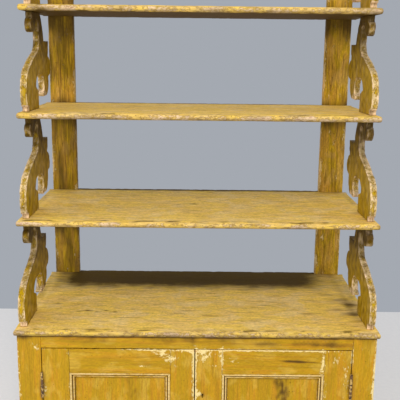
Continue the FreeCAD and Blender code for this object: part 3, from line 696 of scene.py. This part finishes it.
print(f"{len(made_pieces)} worked pieces")

# %% [markdown]
# ## Panel mouldings
#
# A planted moulding hides the gap between panel and frame: a fat outer bead, a deep quirk, a
# thinner inner bead and a small slope down to the panel. It was run with a plane in one length
# and mitred, so its section is carried along each of the four sides and drawn in at the
# corners by its own width.

# %% Run the mouldings
# The section as (in from the frame, back from the front of the bead), in mm.
BEAD_FRONT, STRIP_ROWS, MITRE_GAP = -267.6, 40, 0.12
QUIRK, INNER_BEAD, SLOPE_FOOT = 7.7, (10.9, 3.8), 14.6
section = walk((0, 2.6), [((3.2, 0), (6.4, 2.6)), (7.2, 6), (8.2, 6), ((10.9, 3.8), (13.6, 6.4)),
                          (14.2, 8.8), (17, 10), (17, 11.0), (0, 11.0)], 7)
count = len(section)


def moulding(side, bead_wear, quirk_grime):
    """Four mitred strips. A strip's point at w in from the frame and d back from the bead runs
    from one corner, moved in by w both ways, to the next corner, moved in the same way. Each
    end stops a hair short, which leaves a line at the mitre."""
    left, right = panel_span[side]
    corners = np.array([(left, PANEL_LOW), (right, PANEL_LOW),
                        (right, PANEL_HIGH), (left, PANEL_HIGH)], float)
    inwards = np.array([(1, 1), (-1, 1), (-1, -1), (1, -1)], float)
    share = np.linspace(0, 1, STRIP_ROWS)[:, None, None]
    depth = np.broadcast_to(BEAD_FRONT + section[:, 1], (STRIP_ROWS, count))
    walls = wall_faces(STRIP_ROWS, count)[:, [0, 3, 2, 1]]
    end_cap = np.arange(count)
    points, faces = [], []
    for k in range(4):
        after = (k + 1) % 4
        start = corners[k] + inwards[k] * section[:, :1]
        end = corners[after] + inwards[after] * section[:, :1]
        gap = MITRE_GAP * (end - start) / np.linalg.norm(end - start, axis=1)[:, None]
        plan = (start + gap) * (1 - share) + (end - gap) * share
        points.append(np.stack([plan[..., 0], depth, plan[..., 1]], -1).reshape(-1, 3))
        first = k * STRIP_ROWS * count
        faces += (walls + first).tolist()
        faces += [(end_cap + first).tolist(),
                  (end_cap[::-1] + first + (STRIP_ROWS - 1) * count).tolist()]
    points = np.concatenate(points)
    across, back = np.tile(section, (4 * STRIP_ROWS, 1)).T
    upright = np.repeat([0.0, 1.0, 0.0, 1.0], STRIP_ROWS * count)
    beads = np.exp(-(back / 2.2) ** 2) + 0.8 * np.exp(
        -((across - INNER_BEAD[0]) / 2.2) ** 2 - ((back - INNER_BEAD[1]) / 1.5) ** 2)
    wear = 0.14 + bead_wear * beads + 0.1 * upright + 0.06 * ripple(points, 30, 97)
    grime = quirk_grime * np.exp(-((across - QUIRK) / 1.2) ** 2)
    grime += 0.9 * np.exp(-((across - SLOPE_FOOT) / 1.2) ** 2) + 0.5 * np.exp(-(across / 0.8) ** 2)
    node = f"{side}_door_moulding"
    put(node + "_worked", points, faces, node, 0, wear, grime, hollow=0.15)


moulding("left", 0.3, 0.95)
moulding("right", 0.36, 1.2)

# %% Check that every shell faces outwards
for piece in made_pieces.values():
    mesh = piece.data
    mesh.calc_loop_triangles()
    corner = np.empty(len(mesh.vertices) * 3)
    mesh.vertices.foreach_get("co", corner)
    index = np.empty(len(mesh.loop_triangles) * 3, int)
    mesh.loop_triangles.foreach_get("vertices", index)
    p = corner.reshape(-1, 3)[index].reshape(-1, 3, 3)
    volume = np.einsum("ij,ij->i", p[:, 0], np.cross(p[:, 1], p[:, 2])).sum() / 6
    if volume <= 0:
        raise RuntimeError(f"{piece.name} is inside out: {volume}")
print(f"{sum(len(p.data.loop_triangles) for p in made_pieces.values())} triangles, "
      "all shells face outwards")

# %% [markdown]
# ## Colours and one helper for nodes
#
# Colours are easiest to judge as the hex values that a screen shows, but a renderer counts
# light, so each one goes through the same curve back to linear values. Materials are built
# from nodes, and one small helper adds any node with its settings and its links.

# %% Colour curve and node helper
def ink(code):
    """Linear RGBA of an sRGB hex colour: v/12.92 up to 0.04045, ((v + 0.055)/1.055)^2.4 above."""
    v = np.array([int(code[i:i + 2], 16) / 255 for i in (1, 3, 5)])
    return (*np.where(v <= 0.04045, v / 12.92, ((v + 0.055) / 1.055) ** 2.4), 1.0)


def add(tree, kind, settings={}, inputs={}):
    """Adds one shader node. Settings are its properties; an input given as a socket is linked
    and any other value is set."""
    node = tree.nodes.new("ShaderNode" + kind)
    for key, value in settings.items():
        setattr(node, key, value)
    for key, value in inputs.items():
        if isinstance(value, bpy.types.NodeSocket):
            tree.links.new(value, node.inputs[key])
        else:
            node.inputs[key].default_value = value
    return node


def new_material(name):
    """An empty node material with its shader and output joined."""
    material = bpy.data.materials.new(name)
    material.use_nodes = True
    tree = material.node_tree
    tree.nodes.clear()
    shader = add(tree, "BsdfPrincipled")
    add(tree, "OutputMaterial", {}, {"Surface": shader.outputs["BSDF"]})
    return material, tree, shader


# %% Patterns and coats
def figure(tree, along, across, detail=3, twist=0.0, rough=0.55):
    """Random pattern as long along the grain and as wide across it as given in mm."""
    place = add(tree, "Attribute", {"attribute_name": "grain"}).outputs["Vector"]
    scaled = add(tree, "VectorMath", {"operation": "MULTIPLY"},
                 {0: place, 1: (1000 / along, 1000 / across, 1000 / across)}).outputs[0]
    return add(tree, "TexNoise", {}, {"Vector": scaled, "Scale": 1.0, "Detail": detail,
                                      "Roughness": rough, "Distortion": twist}).outputs[0]


def coat(tree, under, over, value, low, high, strength=1.0):
    """Lays one colour over another where a value is high. The share of the upper colour is a
    smooth step, from 0 where the value is low to the strength where it is high. Returns the
    new colour and that share."""
    share = add(tree, "MapRange", {"interpolation_type": "SMOOTHSTEP"},
                {0: value, 1: low, 2: high, 3: 0.0, 4: strength}).outputs[0]
    return add(tree, "Mix", {"data_type": "RGBA"}, {0: share, 6: under, 7: over}).outputs[2], share


def total(tree, *parts, start=0.0):
    """A start value plus the sum of (value, weight) pairs, each value times its weight."""
    sum_so_far = start
    for value, weight in parts:
        sum_so_far = add(tree, "Math", {"operation": "MULTIPLY_ADD"},
                         {0: value, 1: weight, 2: sum_so_far}).outputs[0]
    return sum_so_far


def finish_shader(tree, shader, colour, rough, height, strength, distance, **more):
    """Gives the shader its colour, its roughness, a bump from a height and any other links."""
    bump = add(tree, "Bump", {}, {"Strength": strength, "Distance": distance, "Height": height})
    links = {"Base Color": colour, "Roughness": rough, "Normal": bump.outputs[0], **more}
    for key, value in links.items():
        tree.links.new(value, shader.inputs[key])


# %% [markdown]
# ## Ochre oil paint over pine
#
# The real finish is ochre ground in linseed oil, brushed on along the grain over an older
# cream coat. It gives the eye five layers: brush streaks from orange to olive, darker growth
# rings telegraphing through, a thin rubbed state where the paint turns pale, chips down to
# pinkish pine with a cream rim, and brown grime in corners; the grime layer also carries
# painted shade under shelves, noses and the worktop's overhang. One recipe takes the palette
# and the amounts, because the doors, the shelves, the uprights and the scrolls have aged
# differently. Brush streaks are 6 mm wide and growth rings about 8 mm apart. The fibres of
# real pine are finer than a picture of the whole cupboard can show, so they are drawn 2.6 mm
# wide. The gloss is one plain number for each finish.

# %% The paint recipe
USUAL = dict(length=1.0, nick=(22, 8), ringed=0.4, soft=0.0, gloss=0.2)
OIL_IOR = 1.48  # dried linseed oil


def aged_paint(name, colours, amounts, coarse=1.0):
    """Layers of old oil paint over pine, lowest first, each laid through its own mask. The
    widths across the grain grow with coarse. Pairs of amounts are where a mask starts and
    where it is full; length stretches the figure, and nick is the length and width of a chip."""
    material, tree, shader = new_material(name)
    tint = {key: ink(code) for key, code in colours.items()}
    amounts = {**USUAL, **amounts}
    wear = add(tree, "Attribute", {"attribute_name": "wear"}).outputs["Fac"]
    dirt_and_shade = add(tree, "Attribute", {"attribute_name": "grime"}).outputs["Fac"]
    length = amounts["length"]
    brush = figure(tree, 150 * length, 6 * coarse, 3, 0.2)
    broad = figure(tree, 240 * length, 30 * coarse, 3, 0.8)
    cloud = figure(tree, 70, 40 * coarse, 3, 0.4)
    rings = figure(tree, 260 * length, 8 * coarse, 4, 1.0)
    fibre = figure(tree, 30, 2.6 * coarse, 3)
    fleck = figure(tree, 9, 4 * coarse, 3)
    nick = figure(tree, *amounts["nick"], 4, 0.6)
    pit = figure(tree, 6, 5, 1)

    # The paint itself with four tones over it, lighter and darker from fibre to fibre.
    colour = tint["paint"]
    for over, pattern, low, high, strength in (
            ("streak", brush, 0.42, 0.6, "streak"), ("second", broad, 0.44, 0.58, "second"),
            ("pale", cloud, 0.5, 0.64, "cloud"), ("line", rings, 0.54, 0.66, "line")):
        colour, _ = coat(tree, colour, tint[over], pattern, low, high, amounts[strength])
    darkest, lightest = amounts["tone"]
    speckle = total(tree, (fibre, 0.5), (fleck, 0.5))
    tone = add(tree, "MapRange", {}, {0: speckle, 1: 0.38, 2: 0.62, 3: darkest, 4: lightest})
    colour = add(tree, "Mix", {"data_type": "RGBA", "blend_type": "MULTIPLY"},
                 {0: 1.0, 6: colour, 7: tone.outputs[0]}).outputs[2]

    # Wear: rubbed pale first, then a dark crack, the cream undercoat and bare wood.
    rubbed = total(tree, (wear, 1.0), (brush, 0.6), (fleck, 0.5), (fibre, 0.3))
    colour, _ = coat(tree, colour, tint["pale"], rubbed, *amounts["rubbed"])
    chipped = total(tree, (wear, 1.0), (nick, 1.1), (fleck, 0.7))
    cream_at, bare_at = amounts["chipped"]
    soft = amounts["soft"]
    colour, _ = coat(tree, colour, tint["line"], chipped, cream_at - 0.2, cream_at - 0.1,
                     amounts["ringed"])
    colour, cream = coat(tree, colour, tint["cream"], chipped, cream_at - 0.08 - soft,
                         cream_at + 0.06 + soft, 0.9)
    wood, _ = coat(tree, tint["bare"], tint["line"], rings, 0.45, 0.62, 0.6)
    colour, bare = coat(tree, colour, wood, chipped, bare_at - 0.05, bare_at + 0.1)

    # Grime and painted shade over everything, and small dark pits.
    grime_and_shade_mask = total(tree, (dirt_and_shade, 1.0), (cloud, 0.4), (fleck, 0.3), (brush, 0.35))
    colour, grime_and_shade_share = coat(tree, colour, tint["grime"], grime_and_shade_mask, 0.62, 1.3, 0.95)
    colour, pitted = coat(tree, colour, tint["grime"], pit, 0.72, 0.78, 0.6)

    rough = total(tree, (fibre, 0.16), (bare, 0.18), (grime_and_shade_share, 0.1), (brush, -0.1),
                  start=amounts["rough"])
    height = total(tree, (rings, 0.5), (fibre, 0.35), (brush, 0.35), (fleck, 0.2), (cream, -0.18),
                   (bare, -0.2), (pitted, -0.4))
    finish_shader(tree, shader, colour, rough, height, 0.8, 0.0016)
    shader.inputs["IOR"].default_value = OIL_IOR
    shader.inputs["Specular IOR Level"].default_value = amounts["gloss"]
    return material


# %% Five ages of the same paint, and the bare wood
door_colours = dict(paint="#B38A0E", streak="#B8821A", second="#A08208", pale="#D0B04E",
                    bare="#CCA466", cream="#E6D294", line="#8A660C", grime="#4C340A")
door_amounts = dict(streak=0.7, second=0.55, cloud=0.32, line=0.4, tone=(0.86, 1.12),
                    rubbed=(1.05, 1.6), chipped=(1.42, 1.84), rough=0.46, nick=(11, 5), soft=0.07)
finishes = {
    # Doors and face frame: the thickest paint, satin, orange and olive by turns.
    "ochre_paint": aged_paint("ochre_oil_paint_satin", door_colours, door_amounts),
    # Mouldings: the same paint, rubbed through along the beads by every dusting.
    "moulding_ochre": aged_paint(
        "ochre_paint_rubbed_on_beads", {**door_colours, "pale": "#DCC080", "cream": "#E2CC8E"},
        {**door_amounts, "rubbed": (0.9, 1.25), "chipped": (1.52, 1.9)}),
    # Tops of the boards: paint scrubbed thin, so pale wood and dark grain lines show.
    "worn_ochre_board": aged_paint(
        "ochre_paint_scrubbed_thin",
        dict(paint="#E6C45C", streak="#D8B258", second="#DAB872", pale="#E0C68C", bare="#CCA48C",
             cream="#DEC49E", line="#98783A", grime="#48350D"),
        dict(streak=0.65, second=0.6, cloud=0.5, line=0.5, tone=(0.8, 1.24), rubbed=(1.0, 1.45),
             chipped=(1.5, 1.68), rough=0.58, length=0.32, ringed=0.75, nick=(12, 6),
             gloss=0.03), coarse=1.5),
    # Uprights: brown where hands and smoke reached and where shade is painted under the shelves,
    # with the old orange coat low down.
    "upright_ochre": aged_paint(
        "ochre_paint_smoke_browned",
        dict(paint="#C6A01C", streak="#9A7E10", second="#BC8E38", pale="#D2A858", bare="#D8A870",
             cream="#E0C88C", line="#644A0C", grime="#4A3608"),
        dict(streak=0.75, second=0.7, cloud=0.5, line=0.6, tone=(0.74, 1.3), rubbed=(0.95, 1.45),
             chipped=(1.42, 1.62), rough=0.54, length=0.5, gloss=0.14)),
    # Scrolls: brushed against the grain, olive on the flats and yellow on the sawn edge.
    "scroll_ochre": aged_paint(
        "ochre_paint_on_sawn_edges",
        dict(paint="#B49208", streak="#A08004", second="#B89628", pale="#DCBC76", bare="#F0D2AC",
             cream="#D8C08C", line="#684C08", grime="#443000"),
        dict(streak=0.6, second=0.5, cloud=0.35, line=0.4, tone=(0.74, 1.24), rubbed=(1.0, 1.34),
             chipped=(1.46, 1.6), rough=0.5, length=0.35, ringed=0.7, nick=(11, 6), gloss=0.05)),
    # Inside of the cupboard: never painted, only darkened.
    "bare_pine": aged_paint(
        "pine_aged_bare",
        dict(paint="#A9835A", streak="#9A744C", second="#B58E62", pale="#C09A70", bare="#C8A27A",
             cream="#C8A27A", line="#75522F", grime="#4E3820"),
        dict(streak=0.7, second=0.6, cloud=0.35, line=0.75, tone=(0.82, 1.15), rubbed=(1.1, 1.7),
             chipped=(1.7, 1.95), rough=0.68), coarse=1.3),
}

# %% [markdown]
# ## Iron
#
# The butt hinges, the rim lock and the slide bolt are wrought and cast iron. Iron in a kitchen
# rusts in a fine orange-brown bloom, and careless brushes left paint on the knuckles. The lock
# and the bolt are inside the doors, where fewer brushes reached, and the nails and screws are
# darker. Rust is not metallic to the eye, so metallic follows the spots that are still bare.
# These pieces keep their measured meshes, so the pattern uses Object coordinates: rust pits of
# 2 mm, blooms of 12 mm and remains of paint of 8 mm.

# %% Rusted iron
def rusted_iron(name, iron, rust, bloom, traces, painted):
    """Dark iron under rust blooms, with remains of paint where a slow noise passes painted."""
    material, tree, shader = new_material(name)
    place = add(tree, "TexCoord").outputs["Object"]
    pits, blooms, remains = (
        add(tree, "TexNoise", {}, {"Vector": place, "Scale": scale, **more}).outputs[0]
        for scale, more in ((500.0, {"Detail": 3.0}), (84.0, {"Detail": 4.0, "Distortion": 0.6}),
                            (130.0, {"Detail": 5.0, "Roughness": 0.65})))
    rusting = total(tree, (blooms, 1.0), (pits, 0.3))
    colour, rusted = coat(tree, ink(iron), ink(rust), rusting, 0.5, 0.68)
    colour, _ = coat(tree, colour, ink(bloom), pits, 0.56, 0.7, 0.7)
    colour, paint = coat(tree, colour, ink(traces), remains, painted, painted + 0.06)
    bare = 0.75
    for cover in (rusted, paint):
        bare = add(tree, "Math", {"operation": "SUBTRACT", "use_clamp": True},
                   {0: bare, 1: cover}).outputs[0]
    rough = total(tree, (pits, 0.3), (rusted, 0.25), start=0.35)
    height = total(tree, (pits, 0.5), (blooms, 0.5), (paint, 0.3))
    finish_shader(tree, shader, colour, rough, height, 0.6, 0.0005, Metallic=bare)
    return material


finishes["old_iron"] = rusted_iron(
    "iron_rusted_paint_traces", "#3A2F26", "#5E432A", "#80603C", "#B89A5A", 0.51)
finishes["inside_iron"] = rusted_iron(
    "iron_rusted_out_of_reach", "#352C25", "#563E28", "#74563A", "#A8905E", 0.64)
finishes["fastener_iron"] = rusted_iron(
    "iron_nail_heads_oxidised", "#332A22", "#553822", "#6E4C2E", "#A88A4E", 0.66)

# %% Give every piece its finish
INSIDE_THE_DOORS = ("lock_case", "lock_bolt", "slide_plate", "slide_bolt")
for name, piece in made_pieces.items():
    own = "moulding_ochre" if "moulding" in name else finish_of[name.removesuffix("_worked")]
    piece.data.materials.append(finishes[own])
for name, node in nodes.items():
    for slot in node.material_slots:
        slot.material = finishes["inside_iron" if name in INSIDE_THE_DOORS else finish_of[name]]
print(f"finishes: {sorted(finishes)}")

# %% [markdown]
# ## Floor, light and camera
#
# A pale floor and a soft light from above and in front, as by the window of a workshop. The
# big lamp gives the shelves their soft shadows, a broad one in front opens them again, a third
# lights the left side, and the pale cool surroundings fill the rest. The camera stands at
# chest height, 1.8 metres in front of the doors, and looks down a little.

# %% Floor
FLOOR_SIDE, FLOOR_FRONT, FLOOR_BACK = 4.0, -5.0, 1.3
floor_mesh = bpy.data.meshes.new("floor")
floor_mesh.from_pydata([(-FLOOR_SIDE, FLOOR_FRONT, 0), (FLOOR_SIDE, FLOOR_FRONT, 0),
                        (FLOOR_SIDE, FLOOR_BACK, 0), (-FLOOR_SIDE, FLOOR_BACK, 0)],
                       [], [(0, 1, 2, 3)])
floor = bpy.data.objects.new("floor", floor_mesh)
bpy.context.scene.collection.objects.link(floor)
plaster, tree, shader = new_material("pale_floor_matte")
place = add(tree, "TexCoord").outputs["Object"]
speckle = add(tree, "TexNoise", {}, {"Vector": place, "Scale": 60.0, "Detail": 4.0}).outputs[0]
pale = add(tree, "Mix", {"data_type": "RGBA"}, {0: speckle, 6: ink("#D4D6DA"), 7: ink("#DFE0E2")})
tree.links.new(pale.outputs[2], shader.inputs["Base Color"])
shader.inputs["Roughness"].default_value = 0.8
floor_mesh.materials.append(plaster)

# %% Surroundings
# They light the cupboard almost white, and look like a cool grey wall to the camera alone.
scene = bpy.context.scene
scene.view_settings.view_transform = "Standard"
world = bpy.data.worlds.new("soft_room")
scene.world = world
world.use_nodes = True
tree = world.node_tree
tree.nodes.clear()
seen = add(tree, "LightPath").outputs["Is Camera Ray"]
light = add(tree, "Background", {}, {"Color": ink("#FAFAFC"), "Strength": 0.76})
wall = add(tree, "Background", {}, {"Color": ink("#A4A9B1"), "Strength": 1.0})
sky = add(tree, "MixShader", {}, {0: seen, 1: light.outputs[0], 2: wall.outputs[0]})
add(tree, "OutputWorld", {}, {"Surface": sky.outputs[0]})


# %% Lamps
def lamp(name, place, target, size, watts, colour):
    """A square soft lamp at a place, turned to face a target."""
    data = bpy.data.lights.new(name, "AREA")
    data.shape, data.size, data.energy = "SQUARE", size, watts
    data.color = ink(colour)[:3]
    item = bpy.data.objects.new(name, data)
    item.location = place
    item.rotation_euler = (Vector(target) - Vector(place)).to_track_quat("-Z", "Y").to_euler()
    scene.collection.objects.link(item)


lamp("key_lamp", (0.1, -3.2, 3.6), (0, 0, 0.8), 1.0, 92, "#FFF6E6")
lamp("front_lamp", (-0.9, -3.8, 1.2), (0, 0, 0.9), 2.6, 30, "#FFFAF4")
lamp("left_lamp", (-3.2, -1.6, 1.6), (0, 0, 0.9), 1.6, 26, "#FFFAF4")

# %% Camera
# The lens is given as its distance from a picture 400 pixels wide, in those pixels.
PITCH, YAW, ROLL = np.radians([11.997, 0.3995, 0.6665])
STAND = (-0.0095, -2.089, 1.3)
FOCAL_PIXELS, PICTURE, SENSOR = 697.61, 400, 36
ahead = np.array([np.sin(YAW) * np.cos(PITCH), np.cos(YAW) * np.cos(PITCH), -np.sin(PITCH)])
right = np.array([np.cos(YAW), -np.sin(YAW), 0])
up = np.cross(right, ahead)
tilted_right = right * np.cos(ROLL) + up * np.sin(ROLL)
tilted_up = up * np.cos(ROLL) - right * np.sin(ROLL)
camera_data = bpy.data.cameras.new("camera")
camera_data.sensor_width = SENSOR
camera_data.lens = SENSOR * FOCAL_PIXELS / PICTURE
camera = bpy.data.objects.new("camera", camera_data)
axes = np.column_stack([tilted_right, tilted_up, -ahead])
camera.matrix_world = Matrix.Translation(STAND) @ Matrix(axes.tolist()).to_4x4()
scene.collection.objects.link(camera)
scene.camera = camera
